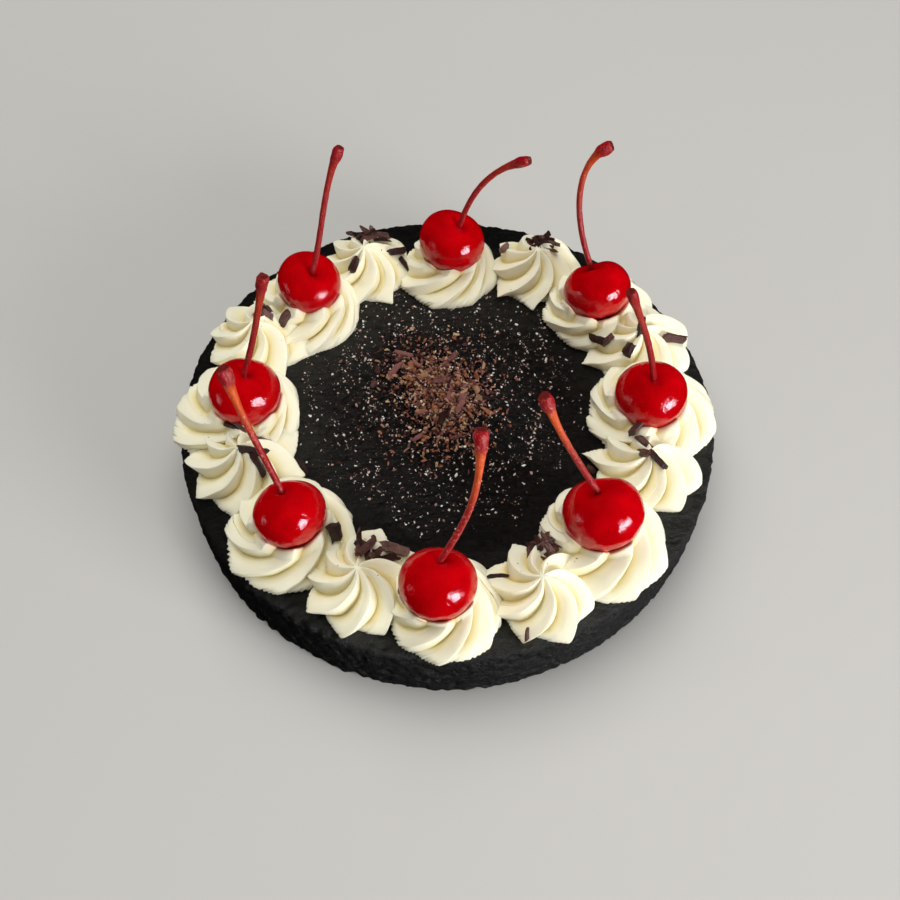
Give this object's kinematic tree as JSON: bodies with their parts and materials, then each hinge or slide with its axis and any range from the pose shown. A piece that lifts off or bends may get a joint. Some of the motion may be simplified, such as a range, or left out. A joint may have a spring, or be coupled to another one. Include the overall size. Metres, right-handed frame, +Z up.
{
  "type": "black forest cake",
  "caption": "Low round dark chocolate cake, topped by a ring of piped cream rosettes with stemmed cherries and grated chocolate.",
  "frame": {"origin": "centre of the cake's flat underside", "axes": "+Z up through the cake, -Y towards the front, +X to the right seen from the front"},
  "size_m": [0.1564, 0.1555, 0.0771],
  "materials": {
    "chocolate_cake": "rough, near-black, slightly moist chocolate crumb",
    "cream": "soft satin whipped cream, ivory with pale yellow folds",
    "cherry": "wet gloss, saturated red candied fruit skin",
    "stem": "shiny crimson stalk with an orange-red clubbed end",
    "grated_chocolate": "dull dark brown flakes and crumbs"
  },
  "bodies": {
    "root": {"cake_base": "chocolate_cake", "rosette_01": "cream", "rosette_02": "cream", "rosette_03": "cream", "rosette_04": "cream", "rosette_05": "cream", "rosette_06": "cream", "rosette_07": "cream", "rosette_08": "cream", "rosette_09": "cream", "rosette_10": "cream", "rosette_11": "cream", "rosette_12": "cream", "rosette_13": "cream", "rosette_14": "cream", "rosette_15": "cream", "rosette_16": "cream", "cherry_1": "cherry", "cherry_2": "cherry", "cherry_3": "cherry", "cherry_4": "cherry", "cherry_5": "cherry", "cherry_6": "cherry", "cherry_7": "cherry", "cherry_8": "cherry", "stem_1": "stem", "stem_2": "stem", "stem_3": "stem", "stem_4": "stem", "stem_5": "stem", "stem_6": "stem", "stem_7": "stem", "stem_8": "stem", "chocolate_heap": "grated_chocolate"}
  },
  "joints": []
}
